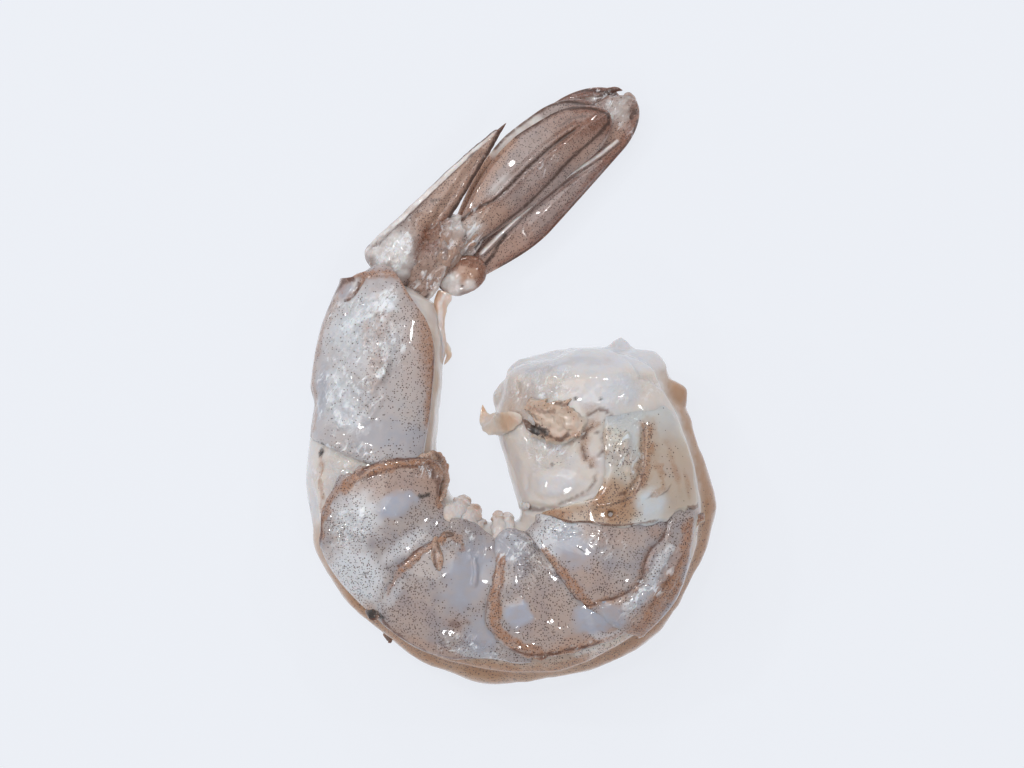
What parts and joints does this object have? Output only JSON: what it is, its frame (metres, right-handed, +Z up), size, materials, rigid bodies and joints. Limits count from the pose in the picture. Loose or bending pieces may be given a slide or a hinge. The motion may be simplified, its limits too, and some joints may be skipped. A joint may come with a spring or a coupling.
{
  "type": "raw tiger prawn",
  "caption": "Raw headless tiger prawn with its grey speckled shell and tail on, split along the back and curled on its side.",
  "frame": {"origin": "bottom centre of the bounding box, on the surface that the prawn lies on", "axes": "+Z up through the two flanks, +Y from the curl towards the tail fan, +X from the tail's side towards the neck's side"},
  "size_m": [0.0504, 0.0744, 0.019],
  "materials": {
    "flesh": "wet translucent raw muscle, greyish white with a peach tint",
    "shell": "wet thin translucent shell, grey lavender with dense brown specks",
    "fan": "wet shell of the tail fan, brown grey with dark specks and brown rims"
  },
  "bodies": {
    "root": {"flesh": "flesh", "neck_membrane": "flesh", "shell_1_near": "shell", "shell_1_far": "shell", "shell_2_near": "shell", "shell_2_far": "shell", "shell_3_near": "shell", "shell_3_far": "shell", "shell_4_near": "shell", "shell_4_far": "shell", "shell_5_near": "shell", "shell_5_far": "shell", "shell_6": "shell", "telson": "fan", "endopod_near": "fan", "exopod_near": "fan", "endopod_far": "fan", "exopod_far": "fan", "protopod_near": "fan", "protopod_far": "fan", "protopod_lobe": "fan"}
  },
  "joints": []
}
